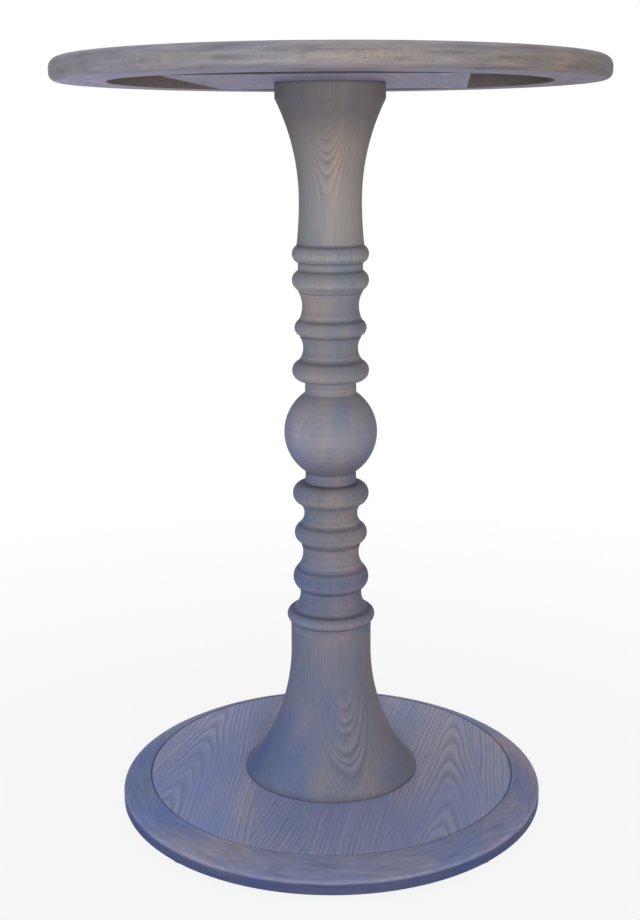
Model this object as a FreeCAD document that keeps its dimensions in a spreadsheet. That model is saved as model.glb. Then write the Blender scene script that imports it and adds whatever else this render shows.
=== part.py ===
import FreeCAD, Part
import math
import os
from collections import namedtuple
from types import SimpleNamespace

import Sketcher

# Driving dimensions: lengths in millimetres, turns in degrees
SIZES = {
    # Levelling glides under the base rim
    "base_clearance": 8.0,
    "glide_gap": 0.3,
    "glide_inset": 26.0,
    "pad_radius": 17.0,
    "pad_chamfer": 1.5,
    "pad_floor_thickness": 2.0,
    "stem_head_radius": 6.5,
    "stem_head_height": 2.5,
    "stem_neck_radius": 3.0,
    "stem_radius": 3.95,
    "stem_length": 17.0,
    "stem_chamfer": 1.0,
    "collar_width": 13.0,
    "collar_height": 4.0,
    "collar_gap": 1.0,
    "counterbore_radius": 11.0,
    "insert_radius": 5.5,
    "insert_length": 14.0,
    "insert_clearance": 0.1,
    "insert_hole_clearance": 0.3,
    "running_clearance": 0.05,
    # Base: bevelled rim round a flat panel
    "base_radius": 311.0,
    "base_thickness": 36.0,
    "base_edge_height": 17.0,
    "base_edge_chamfer": 2.0,
    "base_arris_width": 2.0,
    "base_arris_depth": 0.5,
    "base_bevel_depth": 1.5,
    "base_rim_width": 41.0,
    "base_ledge_width": 30.0,
    "base_panel_thickness": 24.0,
    "base_recess_depth": 10.0,
    "base_joint_angle": 22.5,
    "base_spline_width": 24.0,
    # V groove between a panel and its rim
    "groove_half_width": 1.3,
    "groove_depth": 1.8,
    "panel_clearance": 0.2,
    # Loose tongues in the rim joints
    "spline_thickness": 6.0,
    "spline_length": 22.0,
    "spline_clearance": 0.15,
    # Bell at the foot of the column
    "bell_foot_radius": 128.0,
    "bell_foot_thickness": 2.5,
    "bell_lip_height": 5.5,
    "bell_lip_depth": 0.9,
    "bell_sweep_foot_radius": 119.5,
    "bell_sweep_height": 182.0,
    "bell_neck_radius": 58.5,
    "bell_neck_height": 28.0,
    "dowel_radius": 5.0,
    "dowel_length": 30.0,
    "dowel_circle_radius": 90.0,
    "dowel_chamfer": 1.0,
    "dowel_clearance": 0.1,
    # Flare at the head of the column
    "flare_lower_height": 61.5,
    "flare_waist_radius": 43.4,
    "flare_upper_height": 134.0,
    "cap_radius": 75.3,
    "cap_height": 21.0,
    # Joints and bore of the column
    "upper_tenon_radius": 20.0,
    "upper_tenon_length": 28.0,
    "lower_tenon_radius": 25.0,
    "lower_tenon_length": 30.0,
    "tenon_clearance": 0.2,
    "rod_bore_clearance": 1.0,
    # Tie rod with its nuts and washers
    "rod_radius": 6.0,
    "rod_chamfer": 1.0,
    "rod_end_length": 4.0,
    "nut_width": 18.0,
    "nut_height": 10.0,
    "nut_recess_radius": 22.0,
    "nut_recess_depth": 30.0,
    "washer_radius": 18.0,
    "washer_thickness": 3.0,
    "washer_clearance": 0.5,
    "thread_clearance": 0.05,
    # Top: rounded rim round a thin panel
    "top_radius": 372.0,
    "top_thickness": 30.0,
    "top_edge_radius": 14.0,
    "top_under_radius": 10.0,
    "top_rim_width": 41.0,
    "top_rabbet_width": 33.0,
    "top_panel_thickness": 12.0,
    "top_joint_angle": 17.5,
    "top_spline_width": 40.0,
    # Mounting board and its screws
    "board_width": 370.0,
    "board_corner_gap": 6.7,
    "board_angle": -5.0,
    "board_screw_inset": 30.0,
    "board_screw_length": 26.0,
    "screw_head_radius": 4.2,
    "screw_head_height": 3.0,
    "screw_radius": 2.1,
    "screw_point_length": 4.0,
    "lag_circle_radius": 48.0,
    "lag_length": 60.0,
    "lag_head_radius": 7.0,
    "lag_head_height": 4.0,
    "lag_radius": 3.5,
    "lag_point_length": 6.0,
    "screw_clearance": 0.1,
}

# Baluster from its foot upward: height of each stretch, radius at its upper end, and how far it
# bulges outward (minus for a hollow, zero for a straight stretch)
BALUSTER = {
    "foot_band": (14.0, 58.8, 0),
    "foot_bead": (18.5, 54.5, 7.2),
    "foot_hollow": (30.5, 45.5, -4.4),
    "low_bead": (31.0, 49.5, 7.2),
    "low_hollow": (35.5, 42.8, -5.2),
    "low_quirk": (2.5, 40.5, 0),
    "middle_bead": (27.0, 46.3, 8.9),
    "middle_hollow": (31.5, 44.2, -7.0),
    "under_ball_bead": (31.5, 37.0, 14.0),
    "under_ball_neck": (16.5, 36.0, 0),
    "ball": (113.5, 36.5, 29.9),
    "over_ball_neck": (17.5, 36.0, 0),
    "over_ball_bead": (28.5, 45.0, 13.8),
    "over_ball_hollow": (33.0, 43.0, -5.4),
    "upper_quirk": (2.0, 41.8, 0),
    "upper_bead": (22.0, 44.6, 7.4),
    "upper_hollow": (37.5, 43.8, -4.5),
    "upper_fillet": (5.5, 46.7, 0),
    "twin_bead": (26.0, 45.3, 7.7),
    "twin_neck": (10.5, 45.3, 0),
    "head_bead": (24.0, 47.0, 7.4),
}
for stretch, (height, radius, bulge) in BALUSTER.items():
    SIZES[stretch + "_height"] = height
    SIZES[stretch + "_radius"] = radius
    if bulge:
        SIZES[stretch + "_depth"] = abs(bulge)

# Counts and angles that follow from them
RIM_SEGMENTS = 8
SEGMENT_TURN = 360 / RIM_SEGMENTS
GLIDES = 4
GLIDE_TURN = 360 / GLIDES
DOWELS = 3
LAG_SCREWS = 4
BOARD_SCREW_COLUMNS = 2
BOARD_SCREW_ROWS = 3
HEX_SIDES = 6
HEX_CORNER_SHARE = 1 / math.sqrt(3)

doc = FreeCAD.newDocument("round_cocktail_table")
sheet = doc.addObject("Spreadsheet::Sheet", "Sizes")
for row, (alias, number) in enumerate(SIZES.items(), start=1):
    sheet.set(f"A{row}", alias)
    sheet.set(f"B{row}", str(number))
    sheet.setAlias(f"B{row}", alias)
doc.recompute()


class Size:
    """A length or turn worked out from the sheet: its present value and the formula that binds it."""

    def __init__(self, value, formula):
        self.value = value
        self.formula = formula

    def __add__(self, other):
        other = as_size(other)
        return Size(self.value + other.value, f"({self.formula} + {other.formula})")

    def __radd__(self, other):
        return as_size(other) + self

    def __sub__(self, other):
        other = as_size(other)
        return Size(self.value - other.value, f"({self.formula} - {other.formula})")

    def __neg__(self):
        return as_size(0) - self

    def __mul__(self, other):
        other = as_size(other)
        return Size(self.value * other.value, f"({self.formula} * {other.formula})")

    def __rmul__(self, other):
        return as_size(other) * self

    def __truediv__(self, other):
        other = as_size(other)
        return Size(self.value / other.value, f"({self.formula} / {other.formula})")


def as_size(number):
    return number if isinstance(number, Size) else Size(number, repr(number))


def square_root(size):
    return Size(math.sqrt(size.value), f"sqrt({size.formula})")


def bind(thing, name, size):
    thing.setExpression(name, as_size(size).formula)


s = SimpleNamespace(**{alias: Size(float(getattr(sheet, alias)), "Sizes." + alias) for alias in SIZES})


# Outlines: corners in order, counter-clockwise, each with the arc that leaves it
Corner = namedtuple("Corner", "x y arc", defaults=[None])
Arc = namedtuple("Arc", "radius bulge")


def bead(rise, run, bulge):
    """Arc that swells outward by the bulge."""
    return Arc((rise * rise + run * run) / (8 * bulge) + bulge / 2, bulge.value)


def hollow(rise, run, depth):
    """Arc that cuts inward by the depth."""
    return Arc(bead(rise, run, depth).radius, -depth.value)


def sweep(rise, run):
    """Hollow arc that runs upright at one end."""
    radius = (rise * rise + run * run) / (2 * run)
    half_chord = math.hypot(rise.value, run.value) / 2
    return Arc(radius, math.sqrt(radius.value**2 - half_chord**2) - radius.value)


def edge_between(corner, follower):
    start = FreeCAD.Vector(as_size(corner.x).value, as_size(corner.y).value)
    end = FreeCAD.Vector(as_size(follower.x).value, as_size(follower.y).value)
    if corner.arc is None:
        return Part.LineSegment(start, end)
    chord = end - start
    outward = FreeCAD.Vector(chord.y, -chord.x).normalize()
    crest = start + chord / 2 + outward * corner.arc.bulge
    if corner.arc.bulge < 0:
        return Part.Arc(end, crest, start)
    return Part.Arc(start, crest, end)


def runs_backward(corner):
    return corner.arc is not None and corner.arc.bulge < 0


def constrain(sketch, *terms):
    return sketch.addConstraint(Sketcher.Constraint(*terms))


def place_point(sketch, edge, end, x, y):
    """Tie one end of an edge to its distances from the sketch's origin."""
    for kind, axis, distance in (("DistanceX", -2, x), ("DistanceY", -1, y)):
        if isinstance(distance, Size):
            index = constrain(sketch, kind, -1, 1, edge, end, distance.value)
            bind(sketch, f"Constraints[{index}]", distance)
        else:
            constrain(sketch, "PointOnObject", edge, end, axis)


def draw(sketch, corners):
    for corner, follower in zip(corners, corners[1:] + corners[:1]):
        sketch.addGeometry(edge_between(corner, follower))
    for index, corner in enumerate(corners):
        before = (index - 1) % len(corners)
        start = 2 if runs_backward(corner) else 1
        end_before = 1 if runs_backward(corners[before]) else 2
        constrain(sketch, "Coincident", before, end_before, index, start)
        place_point(sketch, index, start, corner.x, corner.y)
        if corner.arc:
            tie = constrain(sketch, "Radius", index, corner.arc.radius.value)
            bind(sketch, f"Constraints[{tie}]", corner.arc.radius)


def draw_circle(sketch, radius, x=0, y=0):
    centre = FreeCAD.Vector(as_size(x).value, as_size(y).value)
    circle = sketch.addGeometry(Part.Circle(centre, FreeCAD.Vector(0, 0, 1), radius.value))
    place_point(sketch, circle, 3, x, y)
    tie = constrain(sketch, "Radius", circle, radius.value)
    bind(sketch, f"Constraints[{tie}]", radius)
    return circle


def draw_hexagon(sketch, flats):
    corner_radius = flats * HEX_CORNER_SHARE
    guide = draw_circle(sketch, corner_radius)
    sketch.toggleConstruction(guide)
    corners = []
    for side in range(HEX_SIDES):
        angle = 2 * math.pi * side / HEX_SIDES
        corners.append(FreeCAD.Vector(math.cos(angle), math.sin(angle)) * corner_radius.value)
    sides = []
    for side in range(HEX_SIDES):
        line = Part.LineSegment(corners[side], corners[(side + 1) % HEX_SIDES])
        sides.append(sketch.addGeometry(line))
    for side, line in enumerate(sides):
        constrain(sketch, "Coincident", sides[side - 1], 2, line, 1)
        constrain(sketch, "PointOnObject", line, 1, guide)
        if side:
            constrain(sketch, "Equal", sides[0], line)
    constrain(sketch, "PointOnObject", sides[0], 1, -1)


def draw_rectangle(sketch, width, depth):
    """Rectangle about the sketch's origin."""
    half = FreeCAD.Vector(width.value / 2, depth.value / 2)
    corners = [FreeCAD.Vector(half.x * i, half.y * j) for i, j in ((-1, -1), (1, -1), (1, 1), (-1, 1))]
    for side in range(4):
        sketch.addGeometry(Part.LineSegment(corners[side], corners[(side + 1) % 4]))
    for side in range(4):
        constrain(sketch, "Coincident", (side - 1) % 4, 2, side, 1)
        constrain(sketch, "Vertical" if side % 2 else "Horizontal", side)
    constrain(sketch, "Symmetric", 0, 1, 1, 2, -1, 1)
    for kind, side, length in (("DistanceX", 0, width), ("DistanceY", 1, depth)):
        tie = constrain(sketch, kind, side, 1, side, 2, length.value)
        bind(sketch, f"Constraints[{tie}]", length)


# Pieces: each is a body of its own, at its place in the table
pieces = []


def new_piece(label, lift=None, turn=None, out=None, out_turn=0):
    """A body lifted to its height, turned about the upright axis, and moved out along a plan angle."""
    body = doc.addObject("PartDesign::Body", label)
    body.Label = label
    if lift is not None:
        bind(body, "Placement.Base.z", lift)
    if turn is not None:
        bind(body, "Placement.Rotation.Angle", turn)
    if out is not None:
        bind(body, "Placement.Base.x", out * math.cos(math.radians(out_turn)))
        bind(body, "Placement.Base.y", out * math.sin(math.radians(out_turn)))
    pieces.append(body)
    return body


def new_sketch(body, role, offset=None):
    sketch = body.newObject("Sketcher::SketchObject", body.Label + "_sketch")
    plane = next(feature for feature in body.Origin.OriginFeatures if feature.Role == role)
    sketch.AttachmentSupport = (plane, [""])
    sketch.MapMode = "FlatFace"
    if offset is not None:
        bind(sketch, "AttachmentOffset.Base.z", offset)
    return sketch


def add_axis(sketch, x):
    """Upright construction line that a screw turns about."""
    foot = FreeCAD.Vector(x.value, 0)
    head = FreeCAD.Vector(x.value, x.value)
    line = sketch.addGeometry(Part.LineSegment(foot, head), True)
    place_point(sketch, line, 1, x, 0)
    place_point(sketch, line, 2, x, x)


def turn_feature(body, kind, sketch, angle=360, axis="V_Axis", midplane=False):
    feature = body.newObject(kind, body.Label + "_turning")
    feature.Profile = sketch
    feature.ReferenceAxis = (sketch, [axis])
    feature.Midplane = midplane
    bind(feature, "Angle", angle)
    return feature


def revolve(body, sketch, **options):
    return turn_feature(body, "PartDesign::Revolution", sketch, **options)


def cut_check(body, before):
    doc.recompute()
    if not body.Shape.Volume < before:
        raise RuntimeError(body.Label + ": a cut removed nothing")


def cut_groove(body, sketch, **options):
    doc.recompute()
    before = body.Shape.Volume
    feature = turn_feature(body, "PartDesign::Groove", sketch, **options)
    cut_check(body, before)
    return feature


def cut_pocket(body, sketch, depth, upward=False):
    doc.recompute()
    before = body.Shape.Volume
    feature = body.newObject("PartDesign::Pocket", body.Label + "_pocket")
    feature.Profile = sketch
    feature.Reversed = upward
    bind(feature, "Length", depth)
    cut_check(body, before)
    return feature


def pad(body, sketch, height):
    feature = body.newObject("PartDesign::Pad", body.Label + "_pad")
    feature.Profile = sketch
    bind(feature, "Length", height)
    return feature


def origin_axis(body, role):
    return next(feature for feature in body.Origin.OriginFeatures if feature.Role == role)


def polar(body, feature, count, angle=360):
    pattern = body.newObject("PartDesign::PolarPattern", body.Label + "_ring")
    pattern.Originals = [feature]
    pattern.Axis = (origin_axis(body, "Z_Axis"), [""])
    pattern.Angle = angle
    pattern.Occurrences = count
    body.Tip = pattern


def board_grid(body, feature):
    """Repeat a feature from one corner of the mounting board over the whole screw grid."""
    pattern = body.newObject("PartDesign::LinearPattern", body.Label + "_grid")
    pattern.Originals = [feature]
    pattern.Direction = (origin_axis(body, "X_Axis"), [""])
    pattern.Reversed = True
    bind(pattern, "Length", 2 * screw_x)
    pattern.Occurrences = BOARD_SCREW_COLUMNS
    pattern.Direction2 = (origin_axis(body, "Y_Axis"), [""])
    pattern.Reversed2 = True
    bind(pattern, "Length2", 2 * screw_y)
    pattern.Occurrences2 = BOARD_SCREW_ROWS
    body.Tip = pattern


# Levels, stacked from the floor, and the sizes that follow from two pieces
base_panel_radius = s.base_radius - s.base_rim_width
base_ledge_radius = base_panel_radius - s.base_ledge_width
glide_circle_radius = s.base_radius - s.glide_inset
base_top = s.base_clearance + s.base_thickness
base_ledge_height = s.base_thickness - s.base_panel_thickness
base_panel_foot = s.base_clearance + base_ledge_height
bell_height = s.bell_foot_thickness + s.bell_lip_height + s.bell_sweep_height + s.bell_neck_height
bell_head = base_top + bell_height
baluster_height = sum((getattr(s, stretch + "_height") for stretch in BALUSTER), as_size(0))
baluster_head = bell_head + baluster_height
flare_height = s.flare_lower_height + s.flare_upper_height + s.cap_height
flare_head = baluster_head + flare_height
board_thickness = s.top_thickness - s.top_panel_thickness
top_panel_radius = s.top_radius - s.top_rim_width
top_ring_inner_radius = top_panel_radius - s.top_rabbet_width
board_corner_radius = top_ring_inner_radius - s.board_corner_gap
board_depth = 2 * square_root(board_corner_radius * board_corner_radius - s.board_width * s.board_width / 4)
bore_radius = s.rod_radius + s.rod_bore_clearance
screw_x = s.board_width / 2 - s.board_screw_inset
screw_y = board_depth / 2 - s.board_screw_inset
pad_height = s.base_clearance - s.glide_gap
counterbore_depth = s.collar_gap + s.collar_height


def rim_slot(body, middle_radius, middle_height, width):
    """Slots for the loose tongues in both ends of a rim segment."""
    half_width = width / 2 + s.spline_clearance
    half_thickness = s.spline_thickness / 2 + s.spline_clearance
    sketch = new_sketch(body, "XZ_Plane")
    draw(sketch, [
        Corner(middle_radius - half_width, middle_height - half_thickness),
        Corner(middle_radius + half_width, middle_height - half_thickness),
        Corner(middle_radius + half_width, middle_height + half_thickness),
        Corner(middle_radius - half_width, middle_height + half_thickness),
    ])
    length = s.spline_length + 2 * s.spline_clearance
    slot = cut_groove(body, sketch, angle=length / middle_radius * (180 / math.pi), midplane=True)
    polar(body, slot, 2, SEGMENT_TURN)


def rim_splines(label, lift, turn, middle_radius, middle_height, width):
    body = new_piece(label, lift, turn)
    sketch = new_sketch(body, "XZ_Plane")
    draw(sketch, [
        Corner(middle_radius - width / 2, middle_height - s.spline_thickness / 2),
        Corner(middle_radius + width / 2, middle_height - s.spline_thickness / 2),
        Corner(middle_radius + width / 2, middle_height + s.spline_thickness / 2),
        Corner(middle_radius - width / 2, middle_height + s.spline_thickness / 2),
    ])
    angle = s.spline_length / middle_radius * (180 / math.pi)
    tongue = revolve(body, sketch, angle=angle, midplane=True)
    polar(body, tongue, RIM_SEGMENTS)


# Base rim: eight segments with a bevelled top, a ledge for the panel, and glide holes in every other one
base_spline_radius = (base_panel_radius + s.base_radius) / 2
bevel_rise = s.base_thickness - s.base_edge_height - s.base_arris_width
bevel_run = s.base_radius - s.base_arris_width - base_panel_radius - s.groove_half_width


def base_rim_segment(number):
    turn = s.base_joint_angle + (number - 1) * SEGMENT_TURN
    body = new_piece(f"base_rim_segment_{number}", s.base_clearance, turn)
    sketch = new_sketch(body, "XZ_Plane")
    draw(sketch, [
        Corner(base_ledge_radius, 0),
        Corner(s.base_radius - s.base_edge_chamfer, 0),
        Corner(s.base_radius, s.base_edge_chamfer),
        Corner(s.base_radius, s.base_edge_height - s.base_arris_width,
               bead(2 * s.base_arris_width, s.base_arris_width, s.base_arris_depth)),
        Corner(s.base_radius - s.base_arris_width, s.base_edge_height + s.base_arris_width,
               bead(bevel_rise, bevel_run, s.base_bevel_depth)),
        Corner(base_panel_radius + s.groove_half_width, s.base_thickness),
        Corner(base_panel_radius, s.base_thickness - s.groove_depth),
        Corner(base_panel_radius, base_ledge_height),
        Corner(base_ledge_radius, base_ledge_height),
    ])
    revolve(body, sketch, angle=SEGMENT_TURN)
    rim_slot(body, base_spline_radius, base_ledge_height, s.base_spline_width)
    if number % 2:
        glide_hole(body, s.counterbore_radius, counterbore_depth)
        insert_hole = counterbore_depth + s.stem_length + s.insert_hole_clearance
        glide_hole(body, s.insert_radius + s.insert_clearance, insert_hole)


def glide_hole(body, radius, depth):
    middle = math.radians(SEGMENT_TURN / 2)
    sketch = new_sketch(body, "XY_Plane")
    draw_circle(sketch, radius, glide_circle_radius * math.cos(middle),
                glide_circle_radius * math.sin(middle))
    cut_pocket(body, sketch, depth, upward=True)


for number in range(1, RIM_SEGMENTS + 1):
    base_rim_segment(number)
rim_splines("base_rim_splines", s.base_clearance, s.base_joint_angle,
            base_spline_radius, base_ledge_height, s.base_spline_width)


# Base panel: flat disc on the ledge, chamfered for the groove, recessed below for the lower nut
def base_panel():
    body = new_piece("base_panel", base_panel_foot)
    edge = base_panel_radius - s.panel_clearance
    sketch = new_sketch(body, "XZ_Plane")
    draw(sketch, [
        Corner(s.nut_recess_radius, 0),
        Corner(edge, 0),
        Corner(edge, s.base_panel_thickness - s.groove_depth),
        Corner(edge - s.groove_half_width, s.base_panel_thickness),
        Corner(bore_radius, s.base_panel_thickness),
        Corner(bore_radius, s.base_recess_depth),
        Corner(s.nut_recess_radius, s.base_recess_depth),
    ])
    revolve(body, sketch)
    holes = new_sketch(body, "XY_Plane", s.base_panel_thickness)
    draw_circle(holes, s.dowel_radius + s.dowel_clearance, s.dowel_circle_radius)
    hole = cut_pocket(body, holes, s.dowel_length / 2 + s.dowel_clearance)
    polar(body, hole, DOWELS)


base_panel()


# Dowels between the base panel and the bell
def foot_dowels():
    body = new_piece("foot_dowels", base_top - s.dowel_length / 2)
    sketch = new_sketch(body, "XZ_Plane")
    centre = s.dowel_circle_radius
    draw(sketch, [
        Corner(centre, 0),
        Corner(centre + s.dowel_radius - s.dowel_chamfer, 0),
        Corner(centre + s.dowel_radius, s.dowel_chamfer),
        Corner(centre + s.dowel_radius, s.dowel_length - s.dowel_chamfer),
        Corner(centre + s.dowel_radius - s.dowel_chamfer, s.dowel_length),
        Corner(centre, s.dowel_length),
    ])
    add_axis(sketch, centre)
    dowel = revolve(body, sketch, axis="Axis0")
    polar(body, dowel, DOWELS)


foot_dowels()


# Bell: turned foot of the column, a long hollow sweep from a thin spread lip up to a straight neck
def column_bell():
    body = new_piece("column_bell", base_top)
    sketch = new_sketch(body, "XZ_Plane")
    lip_height = s.bell_foot_thickness + s.bell_lip_height
    neck_foot = lip_height + s.bell_sweep_height
    mortise_radius = s.lower_tenon_radius + s.tenon_clearance
    mortise_floor = bell_height - s.lower_tenon_length - s.tenon_clearance
    draw(sketch, [
        Corner(bore_radius, 0),
        Corner(s.bell_foot_radius, 0),
        Corner(s.bell_foot_radius, s.bell_foot_thickness,
               hollow(s.bell_lip_height, s.bell_foot_radius - s.bell_sweep_foot_radius, s.bell_lip_depth)),
        Corner(s.bell_sweep_foot_radius, lip_height,
               sweep(s.bell_sweep_height, s.bell_sweep_foot_radius - s.bell_neck_radius)),
        Corner(s.bell_neck_radius, neck_foot),
        Corner(s.bell_neck_radius, bell_height),
        Corner(mortise_radius, bell_height),
        Corner(mortise_radius, mortise_floor),
        Corner(bore_radius, mortise_floor),
    ])
    revolve(body, sketch)
    holes = new_sketch(body, "XY_Plane")
    draw_circle(holes, s.dowel_radius + s.dowel_clearance, s.dowel_circle_radius)
    hole = cut_pocket(body, holes, s.dowel_length / 2 + s.dowel_clearance, upward=True)
    polar(body, hole, DOWELS)


column_bell()


# Baluster: turned middle of the column, beads and hollows about one ball, with a tenon at each end
def column_baluster():
    body = new_piece("column_baluster", bell_head - s.lower_tenon_length)
    sketch = new_sketch(body, "XZ_Plane")
    corners = [
        Corner(bore_radius, 0),
        Corner(s.lower_tenon_radius, 0),
        Corner(s.lower_tenon_radius, s.lower_tenon_length),
    ]
    radius = s.bell_neck_radius
    level = s.lower_tenon_length
    for stretch, (_, _, bulge) in BALUSTER.items():
        rise = getattr(s, stretch + "_height")
        next_radius = getattr(s, stretch + "_radius")
        arc = None
        if bulge:
            shape = bead if bulge > 0 else hollow
            arc = shape(rise, next_radius - radius, getattr(s, stretch + "_depth"))
        corners.append(Corner(radius, level, arc))
        radius = next_radius
        level = level + rise
    corners += [
        Corner(radius, level),
        Corner(s.upper_tenon_radius, level),
        Corner(s.upper_tenon_radius, level + s.upper_tenon_length),
        Corner(bore_radius, level + s.upper_tenon_length),
    ]
    draw(sketch, corners)
    revolve(body, sketch)


column_baluster()


# Flare: turned head of the column, with a recess in its top for the upper nut
def column_flare():
    body = new_piece("column_flare", baluster_head, s.board_angle)
    sketch = new_sketch(body, "XZ_Plane")
    foot_radius = s.head_bead_radius
    mortise_radius = s.upper_tenon_radius + s.tenon_clearance
    mortise_depth = s.upper_tenon_length + s.tenon_clearance
    cap_foot = s.flare_lower_height + s.flare_upper_height
    recess_floor = flare_height - s.nut_recess_depth
    draw(sketch, [
        Corner(mortise_radius, 0),
        Corner(foot_radius, 0, sweep(s.flare_lower_height, foot_radius - s.flare_waist_radius)),
        Corner(s.flare_waist_radius, s.flare_lower_height,
               sweep(s.flare_upper_height, s.cap_radius - s.flare_waist_radius)),
        Corner(s.cap_radius, cap_foot),
        Corner(s.cap_radius, flare_height),
        Corner(s.nut_recess_radius, flare_height),
        Corner(s.nut_recess_radius, recess_floor),
        Corner(bore_radius, recess_floor),
        Corner(bore_radius, mortise_depth),
        Corner(mortise_radius, mortise_depth),
    ])
    revolve(body, sketch)
    holes = new_sketch(body, "XY_Plane", flare_height)
    draw_circle(holes, s.lag_radius + s.screw_clearance, s.lag_circle_radius)
    hole = cut_pocket(body, holes, s.lag_length - board_thickness + s.screw_clearance)
    polar(body, hole, LAG_SCREWS)


column_flare()


# Tie rod through the whole column, with a nut and a washer at each end
lower_washer_top = base_panel_foot + s.base_recess_depth
lower_nut_top = lower_washer_top - s.washer_thickness
upper_washer_foot = flare_head - s.nut_recess_depth
upper_nut_foot = upper_washer_foot + s.washer_thickness


def tie_rod():
    foot = lower_nut_top - s.nut_height - s.rod_end_length
    length = upper_nut_foot + s.nut_height + s.rod_end_length - foot
    body = new_piece("tie_rod", foot)
    sketch = new_sketch(body, "XZ_Plane")
    draw(sketch, [
        Corner(0, 0),
        Corner(s.rod_radius - s.rod_chamfer, 0),
        Corner(s.rod_radius, s.rod_chamfer),
        Corner(s.rod_radius, length - s.rod_chamfer),
        Corner(s.rod_radius - s.rod_chamfer, length),
        Corner(0, length),
    ])
    revolve(body, sketch)


def washer(label, foot):
    body = new_piece(label, foot)
    sketch = new_sketch(body, "XZ_Plane")
    hole = s.rod_radius + s.washer_clearance
    draw(sketch, [
        Corner(hole, 0),
        Corner(s.washer_radius, 0),
        Corner(s.washer_radius, s.washer_thickness),
        Corner(hole, s.washer_thickness),
    ])
    revolve(body, sketch)


def nut(label, foot):
    body = new_piece(label, foot)
    sketch = new_sketch(body, "XY_Plane")
    draw_hexagon(sketch, s.nut_width)
    pad(body, sketch, s.nut_height)
    bore = new_sketch(body, "XY_Plane")
    draw_circle(bore, s.rod_radius + s.thread_clearance)
    cut_pocket(body, bore, s.nut_height, upward=True)


tie_rod()
washer("tie_rod_lower_washer", lower_nut_top)
nut("tie_rod_lower_nut", lower_nut_top - s.nut_height)
washer("tie_rod_upper_washer", upper_washer_foot)
nut("tie_rod_upper_nut", upper_nut_foot)


# Mounting board: on the head of the column, inside the top's rim, turned a little off square
def mounting_board():
    body = new_piece("mounting_board", flare_head, s.board_angle)
    sketch = new_sketch(body, "XY_Plane")
    draw_rectangle(sketch, s.board_width, board_depth)
    pad(body, sketch, board_thickness)
    lags = new_sketch(body, "XZ_Plane")
    centre = s.lag_circle_radius
    shank = centre + s.lag_radius + s.screw_clearance
    head_foot = board_thickness - s.lag_head_height
    draw(lags, [
        Corner(centre, 0),
        Corner(shank, 0),
        Corner(shank, head_foot),
        Corner(centre + s.lag_head_radius + s.screw_clearance, board_thickness),
        Corner(centre, board_thickness),
    ])
    add_axis(lags, centre)
    polar(body, cut_groove(body, lags, axis="Axis0"), LAG_SCREWS)
    screws = new_sketch(body, "XZ_Plane", -screw_y)
    shank = screw_x + s.screw_radius + s.screw_clearance
    draw(screws, [
        Corner(screw_x, 0),
        Corner(screw_x + s.screw_head_radius + s.screw_clearance, 0),
        Corner(shank, s.screw_head_height),
        Corner(shank, board_thickness),
        Corner(screw_x, board_thickness),
    ])
    add_axis(screws, screw_x)
    board_grid(body, cut_groove(body, screws, axis="Axis0"))


# Lag screws: down through the board into the head of the column
def column_lag_screws():
    body = new_piece("column_lag_screws", flare_head + board_thickness - s.lag_length, s.board_angle)
    sketch = new_sketch(body, "XZ_Plane")
    centre = s.lag_circle_radius
    draw(sketch, [
        Corner(centre, 0),
        Corner(centre + s.lag_radius, s.lag_point_length),
        Corner(centre + s.lag_radius, s.lag_length - s.lag_head_height),
        Corner(centre + s.lag_head_radius, s.lag_length),
        Corner(centre, s.lag_length),
    ])
    add_axis(sketch, centre)
    polar(body, revolve(body, sketch, axis="Axis0"), LAG_SCREWS)


# Wood screws: up through the board into the top panel
def mounting_board_screws():
    body = new_piece("mounting_board_screws", flare_head, s.board_angle)
    sketch = new_sketch(body, "XZ_Plane", -screw_y)
    draw(sketch, [
        Corner(screw_x, 0),
        Corner(screw_x + s.screw_head_radius, 0),
        Corner(screw_x + s.screw_radius, s.screw_head_height),
        Corner(screw_x + s.screw_radius, s.board_screw_length - s.screw_point_length),
        Corner(screw_x, s.board_screw_length),
    ])
    add_axis(sketch, screw_x)
    board_grid(body, revolve(body, sketch, axis="Axis0"))


mounting_board()
column_lag_screws()
mounting_board_screws()


# Top panel: thin disc in the rabbet of the rim, chamfered for the groove, with pilot holes below
def top_panel():
    body = new_piece("top_panel", flare_head + board_thickness, s.board_angle)
    edge = top_panel_radius - s.panel_clearance
    sketch = new_sketch(body, "XZ_Plane")
    draw(sketch, [
        Corner(0, 0),
        Corner(edge, 0),
        Corner(edge, s.top_panel_thickness - s.groove_depth),
        Corner(edge - s.groove_half_width, s.top_panel_thickness),
        Corner(0, s.top_panel_thickness),
    ])
    revolve(body, sketch)
    pilots = new_sketch(body, "XZ_Plane", -screw_y)
    pilot = screw_x + s.screw_radius + s.screw_clearance
    pilot_depth = s.board_screw_length - board_thickness + s.screw_clearance
    draw(pilots, [
        Corner(screw_x, 0),
        Corner(pilot, 0),
        Corner(pilot, pilot_depth),
        Corner(screw_x, pilot_depth),
    ])
    add_axis(pilots, screw_x)
    board_grid(body, cut_groove(body, pilots, axis="Axis0"))


top_panel()


# Top rim: eight segments with rounded edges and a rabbet for the panel
top_spline_radius = (top_ring_inner_radius + s.top_radius) / 2
QUARTER_ROUND_SHARE = 1 - math.sqrt(0.5)


def quarter_round(radius):
    return bead(radius, radius, radius * QUARTER_ROUND_SHARE)


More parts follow.
